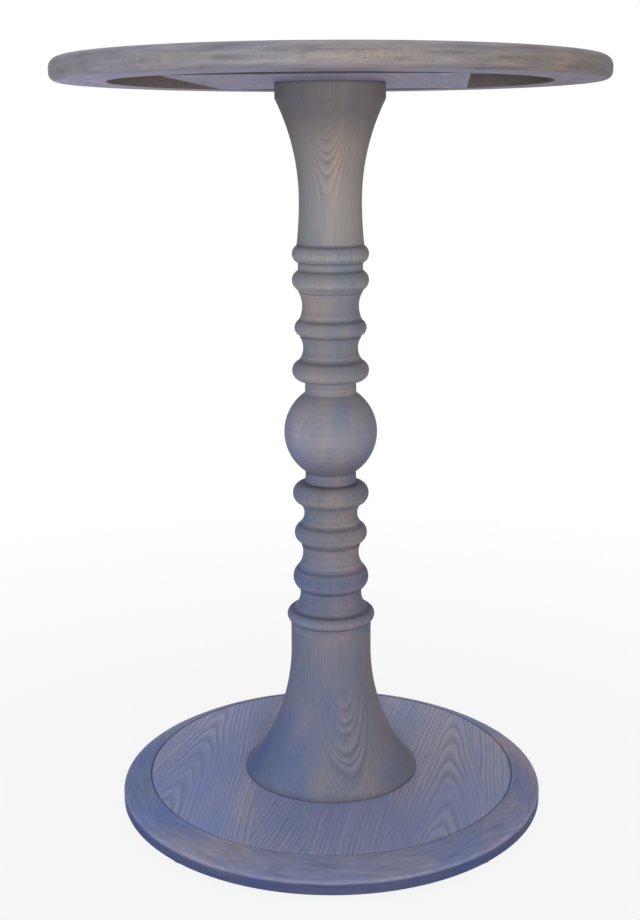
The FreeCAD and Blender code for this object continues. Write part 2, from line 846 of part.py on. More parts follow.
def top_rim_segment(number):
    turn = s.top_joint_angle + (number - 1) * SEGMENT_TURN
    body = new_piece(f"top_rim_segment_{number}", flare_head, turn)
    sketch = new_sketch(body, "XZ_Plane")
    draw(sketch, [
        Corner(top_ring_inner_radius, 0),
        Corner(s.top_radius - s.top_under_radius, 0, quarter_round(s.top_under_radius)),
        Corner(s.top_radius, s.top_under_radius),
        Corner(s.top_radius, s.top_thickness - s.top_edge_radius, quarter_round(s.top_edge_radius)),
        Corner(s.top_radius - s.top_edge_radius, s.top_thickness),
        Corner(top_panel_radius + s.groove_half_width, s.top_thickness),
        Corner(top_panel_radius, s.top_thickness - s.groove_depth),
        Corner(top_panel_radius, board_thickness),
        Corner(top_ring_inner_radius, board_thickness),
    ])
    revolve(body, sketch, angle=SEGMENT_TURN)
    rim_slot(body, top_spline_radius, board_thickness / 2, s.top_spline_width)


for number in range(1, RIM_SEGMENTS + 1):
    top_rim_segment(number)
rim_splines("top_rim_splines", flare_head, s.top_joint_angle,
            top_spline_radius, board_thickness / 2, s.top_spline_width)


# Levelling glides: insert in the rim, threaded stem with a hexagon collar, swivelling pad
stem_foot = s.pad_floor_thickness + s.running_clearance
collar_foot = pad_height + s.collar_gap - stem_foot
stem_height = collar_foot + s.collar_height + s.stem_length


def glide_place(number):
    return {"out": glide_circle_radius, "out_turn": GLIDE_TURN * (number - 0.5)}


def glide_insert(number):
    foot = s.base_clearance + counterbore_depth
    body = new_piece(f"glide_insert_{number}", foot, **glide_place(number))
    sketch = new_sketch(body, "XZ_Plane")
    bore = s.stem_radius + s.running_clearance
    draw(sketch, [
        Corner(bore, 0),
        Corner(s.insert_radius, 0),
        Corner(s.insert_radius, s.insert_length),
        Corner(bore, s.insert_length),
    ])
    revolve(body, sketch)


def glide_stem(number):
    body = new_piece(f"glide_stem_{number}", stem_foot, **glide_place(number))
    sketch = new_sketch(body, "XZ_Plane")
    draw(sketch, [
        Corner(0, 0),
        Corner(s.stem_head_radius, 0),
        Corner(s.stem_head_radius, s.stem_head_height),
        Corner(s.stem_neck_radius, s.stem_head_height),
        Corner(s.stem_neck_radius, collar_foot),
        Corner(s.stem_radius, collar_foot),
        Corner(s.stem_radius, stem_height - s.stem_chamfer),
        Corner(s.stem_radius - s.stem_chamfer, stem_height),
        Corner(0, stem_height),
    ])
    revolve(body, sketch)
    collar = new_sketch(body, "XY_Plane", collar_foot)
    draw_hexagon(collar, s.collar_width)
    pad(body, collar, s.collar_height)


def glide_pad(number):
    body = new_piece(f"glide_pad_{number}", **glide_place(number))
    sketch = new_sketch(body, "XZ_Plane")
    cavity_radius = s.stem_head_radius + s.running_clearance
    cavity_head = stem_foot + s.stem_head_height + s.running_clearance
    neck_hole = s.stem_neck_radius + s.running_clearance
    draw(sketch, [
        Corner(0, 0),
        Corner(s.pad_radius - s.pad_chamfer, 0),
        Corner(s.pad_radius, s.pad_chamfer),
        Corner(s.pad_radius, pad_height - s.pad_chamfer),
        Corner(s.pad_radius - s.pad_chamfer, pad_height),
        Corner(neck_hole, pad_height),
        Corner(neck_hole, cavity_head),
        Corner(cavity_radius, cavity_head),
        Corner(cavity_radius, s.pad_floor_thickness),
        Corner(0, s.pad_floor_thickness),
    ])
    revolve(body, sketch)


for number in range(1, GLIDES + 1):
    glide_insert(number)
    glide_stem(number)
    glide_pad(number)

# Every object has to be sound before anything is written
doc.recompute()
for thing in doc.Objects:
    if "Invalid" in thing.State or "Error" in thing.State:
        raise RuntimeError(f"{thing.Label} did not compute")
for piece in pieces:
    if piece.Shape.isNull() or not piece.Shape.isValid():
        raise RuntimeError(f"{piece.Label} has no sound shape")

os.makedirs("parts", exist_ok=True)
for piece in pieces:
    piece.Shape.exportStep(f"parts/{piece.Label}.step")
print(len(pieces), "pieces, height", (flare_head + s.top_thickness).value)
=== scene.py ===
import math

import bmesh
import bpy
from mathutils import Matrix, Vector


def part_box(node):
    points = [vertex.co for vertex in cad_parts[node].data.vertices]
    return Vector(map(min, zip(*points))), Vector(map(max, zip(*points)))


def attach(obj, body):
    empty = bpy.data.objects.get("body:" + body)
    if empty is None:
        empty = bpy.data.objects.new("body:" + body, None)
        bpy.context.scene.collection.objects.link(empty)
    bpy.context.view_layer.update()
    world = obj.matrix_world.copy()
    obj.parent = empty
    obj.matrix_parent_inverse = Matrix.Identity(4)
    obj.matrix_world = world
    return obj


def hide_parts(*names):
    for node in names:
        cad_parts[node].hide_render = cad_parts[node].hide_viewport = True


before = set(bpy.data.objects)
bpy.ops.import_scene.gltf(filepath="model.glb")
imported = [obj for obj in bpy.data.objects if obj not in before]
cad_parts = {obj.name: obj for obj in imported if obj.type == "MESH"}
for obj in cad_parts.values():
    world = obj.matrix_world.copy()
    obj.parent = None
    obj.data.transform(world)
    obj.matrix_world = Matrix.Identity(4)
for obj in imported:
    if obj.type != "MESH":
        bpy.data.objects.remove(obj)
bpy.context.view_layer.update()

# Glide pads: four black nylon discs that the table stands on, moulded in one shot with round edges and
# two rings sunk in the sole. Each has a pocket that snaps over the head of its stem, so it stays still
# while the stem turns.


def node(tree, kind, feeds=None, out=0, **choices):
    """Add a shader node, feed its inputs with sockets or plain values, and give back one output."""
    made = tree.nodes.new("ShaderNode" + kind)
    for choice, value in choices.items():
        setattr(made, choice, value)
    for name, value in (feeds or {}).items():
        if isinstance(value, bpy.types.NodeSocket):
            tree.links.new(value, made.inputs[name])
        else:
            made.inputs[name].default_value = value
    return made.outputs[out]


def blend(tree, share, first, second, how="MIX"):
    return node(tree, "Mix", {0: share, 6: first, 7: second}, out=2, data_type="RGBA", blend_type=how)


def ramp(tree, value, stops):
    """Grey ramp through (place, level) stops."""
    output = node(tree, "ValToRGB", {"Fac": value})
    band = output.node.color_ramp
    band.interpolation = "EASE"
    while len(band.elements) < len(stops):
        band.elements.new(1.0)
    for element, (place, level) in zip(band.elements, stops):
        element.position = place
        element.color = (level, level, level, 1)
    return output


def noise(tree, place, scale, detail, rough=0.5, out=0):
    """Noise at this scale along each of the three axes."""
    place = node(tree, "Mapping", {"Vector": place, "Scale": scale})
    return node(tree, "TexNoise", {"Vector": place, "Scale": 1.0, "Detail": detail, "Roughness": rough},
                out=out)


def new_finish(name):
    """An empty material: its node tree, the shader that its nodes feed, and the place on the piece."""
    finish = bpy.data.materials.new(name)
    finish.use_nodes = True
    tree = finish.node_tree
    return finish, tree, tree.nodes["Principled BSDF"], node(tree, "TexCoord", out="Object")


def dress(tree, surface, colour, rough, relief, strength, depth):
    """Give the shader its colour, its roughness and a fine relief."""
    tree.links.new(colour, surface.inputs["Base Color"])
    tree.links.new(rough, surface.inputs["Roughness"])
    bump = node(tree, "Bump", {"Height": relief, "Strength": strength, "Distance": depth})
    tree.links.new(bump, surface.inputs["Normal"])


def black_nylon():
    finish, tree, surface, spot = new_finish("black_nylon")
    grit = noise(tree, spot, (900.0, 900.0, 900.0), 3.0)
    dust = noise(tree, spot, (60.0, 60.0, 60.0), 2.0)
    colour = blend(tree, dust, (0.012, 0.012, 0.014, 1), (0.045, 0.045, 0.048, 1))
    dress(tree, surface, colour, ramp(tree, grit, [(0.3, 0.42), (0.7, 0.62)]), grit, 0.25, 0.0002)
    return finish


def let_go():
    """Close editing, with nothing picked."""
    if bpy.context.mode != "OBJECT":
        bpy.ops.object.mode_set(mode="OBJECT")
    bpy.ops.object.select_all(action="DESELECT")


def hold(*pieces):
    """Have just these pieces in hand, the first one active."""
    let_go()
    for piece in pieces:
        piece.select_set(True)
    bpy.context.view_layer.objects.active = pieces[0]


def pick_end(piece, way):
    """Pick the face at the top end, with way 1, or at the lower end, with way -1."""
    bpy.ops.mesh.select_mode(type="FACE")
    bpy.ops.mesh.select_all(action="DESELECT")
    faces = bmesh.from_edit_mesh(piece.data).faces
    end = max(way * face.calc_center_median().z for face in faces)
    for face in faces:
        face.select_set(way * face.calc_center_median().z > end - hair)
    bmesh.update_edit_mesh(piece.data)


def pick_rings(piece, rings):
    """Pick the edges that run round the axis at these (radius, height) places."""
    bpy.ops.mesh.select_mode(type="EDGE")
    bpy.ops.mesh.select_all(action="DESELECT")
    for edge in bmesh.from_edit_mesh(piece.data).edges:
        ends = [(end.co.xy.length, end.co.z) for end in edge.verts]
        edge.select_set(any(all(math.dist(end, ring) < hair for end in ends) for ring in rings))
    bmesh.update_edit_mesh(piece.data)


def bar(name, sides, radius, foot, head):
    """A length of bar on the upright axis, open for editing with its top face picked."""
    let_go()
    bpy.ops.mesh.primitive_cylinder_add(vertices=sides, radius=radius, depth=head - foot,
                                        location=(0, 0, (foot + head) / 2))
    bpy.ops.object.transform_apply(location=True)
    piece = bpy.context.object
    piece.name = name
    bpy.ops.object.mode_set(mode="EDIT")
    pick_end(piece, 1)
    return piece


def draw_out(stops):
    """Take the picked end face from the first (radius, height) stop through the others."""
    for (radius, height), (next_radius, next_height) in zip(stops, stops[1:]):
        rise = (0, 0, next_height - height)
        bpy.ops.mesh.extrude_region_move(TRANSFORM_OT_translate={"value": rise})
        share = next_radius / radius
        bpy.ops.transform.resize(value=(share, share, 1), center_override=(0, 0, 0))


def ease(piece, rings, width, steps):
    """Round these turned edges over."""
    pick_rings(piece, rings)
    bpy.ops.mesh.bevel(offset=width, segments=steps, affect="EDGES")


def smooth(piece, finish, crease=32):
    """Give a shaped piece its finish and soft shading across its edges below the crease, in degrees."""
    hold(piece)
    bpy.ops.object.shade_smooth_by_angle(angle=math.radians(crease))
    piece.data.materials.append(finish)


def set_out(piece, names, places):
    """Move the piece from the axis to the first place, and a copy with its own mesh to each other."""
    row = [piece]
    while len(row) < len(places):
        hold(piece)
        bpy.ops.object.duplicate(linked=False)
        row.append(bpy.context.object)
    for copy, name, place in zip(row, names, places):
        hold(copy)
        copy.name = name
        bpy.ops.transform.translate(value=place)
        bpy.ops.object.transform_apply(location=True)
    return row


hair = 0.00001
wide_sides = 64
nylon = black_nylon()
pad_low, pad_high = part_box("glide_pad_1")
pad_radius = (pad_high.x - pad_low.x) / 2
pad_head = pad_high.z
glides = range(1, 5)
glide_places = []
for number in glides:
    low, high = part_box(f"glide_pad_{number}")
    glide_places.append(((low.x + high.x) / 2, (low.y + high.y) / 2, 0))

pad_edge = 0.0015
neck_hole = 0.00305
neck_edge = 0.0004
pocket_radius = 0.00655
pocket_floor = 0.0020
pocket_head = 0.0046
sole_rings = [(0.0130, 0.0103), (0.0072, 0.0045)]
ring_draft = 0.0005
ring_depth = 0.0007
pad = bar("moulded_pad", wide_sides, pad_radius, 0, pad_head)
draw_out([(pad_radius, pad_head), (neck_hole, pad_head), (neck_hole, pocket_head),
          (pocket_radius, pocket_head), (pocket_radius, pocket_floor)])
sole = [(pad_radius, 0)]
for outer, inner in sole_rings:
    sole += [(outer, 0), (outer - ring_draft, ring_depth), (inner + ring_draft, ring_depth), (inner, 0)]
pick_end(pad, -1)
draw_out(sole)
ease(pad, [(pad_radius, 0), (pad_radius, pad_head)], pad_edge, steps=6)
ease(pad, [(neck_hole, pad_head)], neck_edge, steps=2)
smooth(pad, nylon)
pads = set_out(pad, [f"moulded_pad_{number}" for number in glides], glide_places)
for number, pad in zip(glides, pads):
    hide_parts(f"glide_pad_{number}")
    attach(pad, f"pad_{number}")

# Glide stems: zinc plated steel screws with a flat head, a hexagon collar for a spanner and a rolled
# thread. They run up into the inserts, and turning one raises or lowers its pad.


def zinc_plate():
    finish, tree, surface, spot = new_finish("zinc_plate")
    spangle = noise(tree, spot, (260.0, 260.0, 260.0), 4.0)
    stain = noise(tree, spot, (35.0, 35.0, 35.0), 3.0)
    colour = blend(tree, stain, (0.40, 0.40, 0.41, 1), (0.56, 0.56, 0.54, 1))
    surface.inputs["Metallic"].default_value = 1.0
    dress(tree, surface, colour, ramp(tree, spangle, [(0.3, 0.28), (0.7, 0.46)]), spangle, 0.12, 0.0001)
    return finish


def thread(name, crest, pitch, foot, turns):
    """The raised helix of a rolled thread, a flat-topped 60 degree ridge wound up the axis."""
    flat = pitch / 8
    ridge_share = 0.96
    reach = ridge_share * pitch / math.sqrt(3)
    middle = crest - reach + flat * math.sin(math.radians(60))
    steps_a_turn = 24
    let_go()
    bpy.ops.mesh.primitive_circle_add(vertices=3, radius=reach, location=(middle, 0, foot),
                                      rotation=(math.radians(90), math.radians(90), 0))
    ridge = bpy.context.object
    ridge.name = name
    bpy.ops.object.transform_apply(location=True, rotation=True)
    bpy.ops.object.mode_set(mode="EDIT")
    bpy.ops.mesh.select_mode(type="VERT")
    bpy.ops.mesh.select_all(action="DESELECT")
    for corner in bmesh.from_edit_mesh(ridge.data).verts:
        corner.select_set(corner.co.x > middle)
    bmesh.update_edit_mesh(ridge.data)
    bpy.ops.mesh.bevel(offset=flat, affect="VERTICES")
    hold(ridge)
    wound = ridge.modifiers.new("wound", "SCREW")
    wound.screw_offset = pitch
    wound.iterations = turns
    wound.steps = steps_a_turn
    wound.render_steps = steps_a_turn
    bpy.ops.object.modifier_apply(modifier="wound")
    bpy.ops.object.mode_set(mode="EDIT")
    bpy.ops.mesh.select_all(action="SELECT")
    bpy.ops.mesh.fill_holes(sides=8)
    bpy.ops.mesh.normals_make_consistent(inside=False)
    hold(ridge)
    return ridge


def cut(piece, tool, how):
    """Cut the piece with the tool, which then goes."""
    hold(piece)
    shaping = piece.modifiers.new("cut", "BOOLEAN")
    shaping.operation = how
    shaping.object = tool
    bpy.ops.object.modifier_apply(modifier="cut")
    bpy.data.objects.remove(tool)
    bpy.ops.object.mode_set(mode="EDIT")
    bpy.ops.mesh.select_all(action="SELECT")
    bpy.ops.mesh.remove_doubles(threshold=2 * hair)
    bpy.ops.mesh.dissolve_degenerate(threshold=2 * hair)
    bpy.ops.mesh.normals_make_consistent(inside=False)
    hold(piece)


def hexagon(name, width, foot, head):
    """A hexagon with its corners turned off at 30 degrees, above and below."""
    corner = width / math.sqrt(3)
    shoulder_share = 0.475
    shoulder = shoulder_share * width
    blank_share = 1.02
    blank = blank_share * corner
    slope = math.tan(math.radians(30))
    drop = (blank - shoulder) * slope
    past = 0.0005
    tip = shoulder - past / slope
    turning_sides = 72
    block = bar(name, 6, corner, foot, head)
    turning = bar(name + "_turning", turning_sides, blank, foot + drop, head - drop)
    for way, end in ((1, head), (-1, foot)):
        pick_end(turning, way)
        draw_out([(blank, end - way * drop), (tip, end + way * past)])
    cut(block, turning, "INTERSECT")
    return block


thin_sides = 32
zinc = zinc_plate()
stem_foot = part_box("glide_stem_1")[0].z
stem_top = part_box("glide_stem_1")[1].z
stem_head_radius = 0.0065
stem_head_height = 0.0025
stem_head_edge = 0.0006
stem_neck_radius = 0.0030
stem_root_radius = 0.0032
stem_crest_radius = 0.00395
stem_tip_radius = 0.0025
stem_tip_length = 0.0008
stem_pitch = 0.00125
stem_turns = 11
collar_width = 0.0130
collar_height = 0.0040
collar_gap = 0.0010
stem_head_top = stem_foot + stem_head_height
collar_foot = pad_head + collar_gap
collar_top = collar_foot + collar_height
neck_top = collar_foot + pad_edge

stem = bar("threaded_stem", thin_sides, stem_head_radius, stem_foot, stem_head_top)
draw_out([(stem_head_radius, stem_head_top), (stem_neck_radius, stem_head_top),
          (stem_neck_radius, neck_top), (stem_root_radius, neck_top),
          (stem_root_radius, stem_top - stem_tip_length), (stem_tip_radius, stem_top)])
ease(stem, [(stem_head_radius, stem_foot), (stem_head_radius, stem_head_top)], stem_head_edge, steps=3)
collar = hexagon("stem_collar", collar_width, collar_foot, collar_top)
stem_thread = thread("stem_thread", stem_crest_radius, stem_pitch, collar_top + stem_pitch, stem_turns)
hold(stem, collar, stem_thread)
bpy.ops.object.join()
smooth(stem, zinc)
stems = set_out(stem, [f"threaded_stem_{number}" for number in glides], glide_places)
for number, stem in zip(glides, stems):
    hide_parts(f"glide_stem_{number}")
    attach(stem, f"stem_{number}")

# Glide inserts: brass sleeves turned from bar and pressed into the underside of the rim.
# The stems run in them.


def turned_brass():
    finish, tree, surface, spot = new_finish("turned_brass")
    marks = noise(tree, spot, (40.0, 40.0, 4000.0), 2.0)
    dull = noise(tree, spot, (120.0, 120.0, 120.0), 3.0)
    colour = blend(tree, dull, (0.46, 0.31, 0.10, 1), (0.62, 0.46, 0.19, 1))
    surface.inputs["Metallic"].default_value = 1.0
    dress(tree, surface, colour, ramp(tree, marks, [(0.3, 0.25), (0.7, 0.45)]), marks, 0.1, 0.0001)
    return finish


def cover(node_name, finish):
    """Give a piece its finish."""
    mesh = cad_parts[node_name].data
    mesh.materials.clear()
    mesh.materials.append(finish)


brass = turned_brass()
for number in glides:
    cover(f"glide_insert_{number}", brass)

# Base rim: eight sawn segments of ash glued end to end, then turned with a broad bevel on top.
# The grain runs straight along each segment, so it breaks at every joint. The upright edge is
# painted dark blue as shade, the arris above it carries a painted highlight, and the rim is painted
# paler and cooler to either side as light from the sides.


def sums(tree, operation, *values):
    return node(tree, "Math", dict(enumerate(values)), operation=operation)


def part(tree, place, axis):
    """One coordinate of a place."""
    return node(tree, "SeparateXYZ", {"Vector": place}, out=axis)


def from_axis(tree, place):
    """Distance of a place from the upright axis."""
    flat = node(tree, "VectorMath", {0: place, 1: (1.0, 1.0, 0.0)}, operation="MULTIPLY")
    return node(tree, "VectorMath", {0: flat}, out="Value", operation="LENGTH")


def fade(tree, value, start, end, last=0.0):
    """One as far as the start, easing to the last share at the end."""
    return node(tree, "MapRange", {"Value": value, "From Min": start, "From Max": end, "To Min": 1.0,
                                   "To Max": last}, interpolation_type="SMOOTHSTEP")


def tinted(tree, share, colour, tint):
    """The colour, multiplied by the tint as far as the share says."""
    return blend(tree, share, colour, (*tint, 1), "MULTIPLY")


def ground_by_height(tree, spot, grounds):
    """Colour up the piece through (height, colour) stops: the wash, with painted light and shade on
    several pieces.
    """
    low = grounds[0][0]
    high = grounds[-1][0]
    share = node(tree, "MapRange", {"Value": part(tree, spot, "Z"), "From Min": low, "From Max": high})
    output = node(tree, "ValToRGB", {"Fac": share})
    band = output.node.color_ramp
    while len(band.elements) < len(grounds):
        band.elements.new(1.0)
    for element, (level, colour) in zip(band.elements, grounds):
        element.position = (level - low) / (high - low)
        element.color = (*colour, 1)
    return output


def near_levels(tree, spot, levels, reach):
    """One at any of these heights, fading to nothing at the reach above and below."""
    height = part(tree, spot, "Z")
    gap = 1.0
    for level in levels:
        away = sums(tree, "ABSOLUTE", sums(tree, "SUBTRACT", height, level))
        gap = sums(tree, "MINIMUM", away, gap)
    return fade(tree, gap, 0.0, reach)


def painted_side_light(tree, spot, colour, sides, where=1.0):
    """Painted light from the sides: tints that each grow from one place across the table to another."""
    across = part(tree, spot, "X")
    for start, full, tint in sides:
        share = node(tree, "MapRange", {"Value": across, "From Min": start, "From Max": full})
        colour = tinted(tree, sums(tree, "MULTIPLY", share, where), colour, tint)
    return colour


def glued_boards(tree, spot, boards):
    """Place in the log that each board was sawn from. The boards lie side by side from left to right,
    and each has its left edge, the place of its log's pith, and the turn of the log."""
    across = part(tree, spot, "X")
    log = None
    for edge, pith, turn in boards:
        own = node(tree, "Mapping", {"Vector": spot, "Location": pith, "Rotation": turn},
                   vector_type="TEXTURE")
        past = sums(tree, "GREATER_THAN", across, edge)
        log = node(tree, "Mix", {0: past, 4: log, 5: own}, out=1, data_type="VECTOR") if log else own
    return log


def grey_washed_ash(name, grounds, boards, ring, wander, vein, mottle, taper=0.0, bend=0.0, marks=None,
                    bared=None):
    """Open-pored ash under a grey wash. The figure comes from the log of each board, the width of its
    rings, how far they wander, how strongly they show, and how they taper and bend along the log. The
    mottle is how far the wash clouds from cool to warm. The marks are what use and the maker left on top
    of it, with the light and shade painted on some pieces. A bared spot, a place and its reach, is where
    it was wiped thin and the figure shows most."""
    finish, tree, surface, spot = new_finish(name)
    log = glued_boards(tree, spot, boards)

    # growth rings, pushed about by a slow drift that runs long along the trunk
    drift = noise(tree, log, (8.0, 8.0, 2.2), 3.0, out="Color")
    drift = node(tree, "VectorMath", {0: drift, 1: (0.5, 0.5, 0.5)}, operation="SUBTRACT")
    drift = node(tree, "VectorMath", {0: drift, "Scale": wander}, operation="SCALE")
    bent = node(tree, "VectorMath", {0: log, 1: drift}, operation="ADD")
    along = part(tree, log, "Z")
    slant = sums(tree, "MULTIPLY_ADD", along, bend, taper)
    girth = sums(tree, "MULTIPLY_ADD", along, slant, from_axis(tree, bent))
    years = sums(tree, "DIVIDE", girth, ring)
    uneven = sums(tree, "MULTIPLY", years, 0.41)
    uneven = node(tree, "TexNoise", {"W": uneven, "Scale": 1.0, "Detail": 1.0}, noise_dimensions="1D")
    years = sums(tree, "MULTIPLY_ADD", uneven, 1.5, years)
    season = sums(tree, "FRACT", years)
    dark_line = ramp(tree, season, [(0.0, 0.4), (0.09, 1.0), (0.26, 0.45), (0.5, 0.0), (0.8, 0.0),
                                    (1.0, 0.4)])
    pale_line = ramp(tree, season, [(0.0, 0.1), (0.3, 0.0), (0.62, 0.5), (0.84, 1.0), (1.0, 0.1)])

    # the figure comes and goes with the thickness of the wash
    patch = noise(tree, log, (17.0, 17.0, 6.0), 2.0)
    shown = sums(tree, "MULTIPLY", ramp(tree, patch, [(0.36, 0.3), (0.6, 1.0)]), vein)
    if bared:
        place, reach = bared
        away = node(tree, "Mapping", {"Vector": spot, "Location": place, "Scale": reach},
                    vector_type="TEXTURE")
        away = node(tree, "VectorMath", {0: away}, out="Value", operation="LENGTH")
        shown = sums(tree, "MULTIPLY", shown, fade(tree, away, 0.45, 1.0, last=0.22))
    dark_line = sums(tree, "MULTIPLY", dark_line, shown)
    pale_line = sums(tree, "MULTIPLY", pale_line, shown)

    # fibres and open pores, drawn out along the trunk
    fibre = noise(tree, bent, (250.0, 250.0, 9.0), 3.0, rough=0.6)
    pore = noise(tree, bent, (1150.0, 1150.0, 45.0), 1.0)
    pore = ramp(tree, pore, [(0.57, 0.0), (0.69, 1.0)])
    pore = sums(tree, "MULTIPLY", pore, sums(tree, "MULTIPLY_ADD", dark_line, 0.7, 0.12))

    # wash, darker in the open rings, paler between them, cool where it lay thick and warm where thin
    colour = ground_by_height(tree, spot, grounds)
    colour = tinted(tree, dark_line, colour, (0.50, 0.50, 0.54))
    colour = tinted(tree, pale_line, colour, (1.42, 1.36, 1.30))
    grain = ramp(tree, fibre, [(0.28, 0.84), (0.5, 1.0), (0.74, 1.14)])
    colour = blend(tree, 0.12 + 0.6 * vein, colour, grain, "MULTIPLY")
    colour = blend(tree, sums(tree, "MULTIPLY", pore, 0.5), colour, (0.050, 0.047, 0.050, 1))
    cloud = noise(tree, log, (16.0, 16.0, 5.0), 4.0, rough=0.55)
    cool = sums(tree, "MULTIPLY", ramp(tree, cloud, [(0.3, 1.0), (0.5, 0.0)]), mottle)
    warm = sums(tree, "MULTIPLY", ramp(tree, cloud, [(0.5, 0.0), (0.7, 1.0)]), mottle)
    colour = tinted(tree, cool, colour, (0.74, 0.86, 1.08))
    colour = tinted(tree, warm, colour, (1.42, 1.18, 0.94))
    if marks:
        colour = marks(tree, spot, fibre, colour)

    # dull wash over open grain
    surface.inputs["Specular IOR Level"].default_value = 0.08
    relief = sums(tree, "MULTIPLY_ADD", dark_line, -0.5, fibre)
    relief = sums(tree, "MULTIPLY_ADD", pore, -0.8, relief)
    dress(tree, surface, colour, ramp(tree, fibre, [(0.3, 0.50), (0.7, 0.64)]), relief, 0.2, 0.0004)
    return finish


def wiped_round(tree, spot, colour, depth):
    """Long streaks round the rim, from turning it and wiping the wash off, darker and paler by the
    depth."""
    angle = sums(tree, "ARCTAN2", part(tree, spot, "Y"), part(tree, spot, "X"))
    round_place = node(tree, "CombineXYZ", {"X": from_axis(tree, spot), "Y": angle,
                                            "Z": part(tree, spot, "Z")})
    streak = noise(tree, round_place, (170.0, 7.0, 170.0), 4.0, rough=0.6)
    colour = tinted(tree, ramp(tree, streak, [(0.3, 1.0), (0.5, 0.0)]), colour, (1 - depth,) * 3)
    pale = (1 + 1.1 * depth, 1 + 0.9 * depth, 1 + 0.75 * depth)
    return tinted(tree, ramp(tree, streak, [(0.5, 0.0), (0.7, 1.0)]), colour, pale)


def painted_groove_shade(tree, spot, radius, colour):
    """Painted shade along a groove of this radius, darkening the colour as shadow in the groove."""
    away = sums(tree, "ABSOLUTE", sums(tree, "SUBTRACT", from_axis(tree, spot), radius))
    return tinted(tree, fade(tree, away, 0.0006, 0.0022), colour, (0.74, 0.74, 0.76))


def segment_board(turn, radius, height):
    """One board laid level along the chord of a segment whose middle is at this plan angle."""
    middle = math.radians(turn)
    pith = (radius * math.cos(middle), radius * math.sin(middle), height)
    return [(0.0, pith, (level_lie, 0.0, middle))]


level_lie = math.radians(90)
segments = range(1, 9)
segment_angle = 45
base_first_joint = 22.5
base_groove = 0.270
base_arris = 0.0265
arris_reach = 0.0026
# Painted light: the rim paler and bluer towards the left and paler towards the right.
base_rim_sides = [(-0.08, -0.24, (1.02, 1.10, 1.24)), (0.12, 0.26, (1.14, 1.11, 1.17))]


def base_rim_marks_and_light(tree, spot, fibre, colour):
    # Painted highlight: a pale band along the arris where light catches it, broken up by the grain.
    patchy = ramp(tree, fibre, [(0.3, 0.4), (0.6, 1.0)])
    arris = sums(tree, "MULTIPLY", near_levels(tree, spot, [base_arris], arris_reach), patchy)
    colour = tinted(tree, arris, wiped_round(tree, spot, colour, 0.18), (1.30, 1.26, 1.20))
    return painted_groove_shade(tree, spot, base_groove, painted_side_light(tree, spot, colour, base_rim_sides))


# Painted shade: the upright edge is dark blue where shade falls. The blue grey above it is partly painted
# blue light from the sky on an upward face.
base_edge_shade = (0.080, 0.091, 0.172)
base_blue = (0.202, 0.212, 0.304)
base_rim_grounds = [(0.008, base_edge_shade), (0.0225, base_edge_shade), (0.0255, base_blue), (0.044, base_blue)]
for number in segments:
    middle = base_first_joint + segment_angle * (number - 0.5)
    board = segment_board(middle, radius=0.02, height=-0.10 - 0.02 * (number % 3))
    ash = grey_washed_ash(f"base_rim_ash_{number}", base_rim_grounds, board, ring=0.0052, wander=0.022,
                          vein=0.12, mottle=1.0, taper=0.02 * (number % 4 - 1.5), marks=base_rim_marks_and_light)
    cover(f"base_rim_segment_{number}", ash)

# Rim splines: loose tongues of bare beech glued across the rim joints, in the base and in the top.
# They are sawn to thickness and hidden once the rims are closed.


def bare_beech():
    finish, tree, surface, spot = new_finish("bare_beech")
    fleck = noise(tree, spot, (260.0, 260.0, 45.0), 3.0)
    colour = blend(tree, fleck, (0.34, 0.21, 0.11, 1), (0.50, 0.34, 0.20, 1))
    dress(tree, surface, colour, ramp(tree, fleck, [(0.3, 0.6), (0.7, 0.75)]), fleck, 0.15, 0.0002)
    return finish


beech = bare_beech()
cover("base_rim_splines", beech)
cover("top_rim_splines", beech)

# Base panel: a flat disc of glued-up ash let into the rim on a ledge, with a fine V groove round it.
# Its grain runs front to back and askew, with an arched figure on the left and another on the right.
# Painted light: the left of the panel paler and bluer, as light from the left tints it.
base_panel_sides = [(-0.05, -0.18, (1.03, 1.09, 1.18))]


def base_panel_light_and_shade(tree, spot, fibre, colour):
    return painted_groove_shade(tree, spot, base_groove, painted_side_light(tree, spot, colour, base_panel_sides))


# The pale blue ground is partly painted light: paler and bluer than the column, as the sky lights an
# upward face.
panel_blue = (0.286, 0.304, 0.456)
panel_grounds = [(0.0, panel_blue), (0.05, panel_blue)]
panel_boards = [(-0.27, (-0.212, 0.0, 0.026), (level_lie, 0.0, math.radians(-11))),
                (-0.110, (0.420, 0.0, -0.050), (level_lie, 0.0, math.radians(-7))),
                (-0.032, (0.560, 0.0, -0.030), (level_lie, 0.0, math.radians(-1))),
                (0.080, (0.165, -0.10, 0.030), (level_lie, 0.0, math.radians(-9))),
                (0.222, (0.640, 0.0, -0.060), (level_lie, 0.0, math.radians(1)))]
panel_ash = grey_washed_ash("base_panel_ash", panel_grounds, panel_boards, ring=0.0058, wander=0.034,
                            vein=0.46, mottle=0.55, taper=-0.13, marks=base_panel_light_and_shade)
cover("base_panel", panel_ash)

# Foot dowels: fluted beech pins that locate the bell on the panel, glued in both.
# They are bought in and hidden once the column stands.
cover("foot_dowels", beech)

# Bell: the turned foot of the column, one thick ash blank with its grain upright.
# It stands on the panel and is pulled down by the tie rod. Arched grain shows on its front. Painted light
# makes it cooler on its left, warmer on its right and bluer towards its foot, and a painted shadow runs
# round the foot at the panel.
bell_foot = 0.044
foot_shadow_reach = 0.0032
# Painted light: cooler on the left and warmer on the right.
bell_sides = [(-0.012, -0.048, (0.85, 0.96, 1.14)), (0.010, 0.060, (1.08, 1.01, 0.93))]


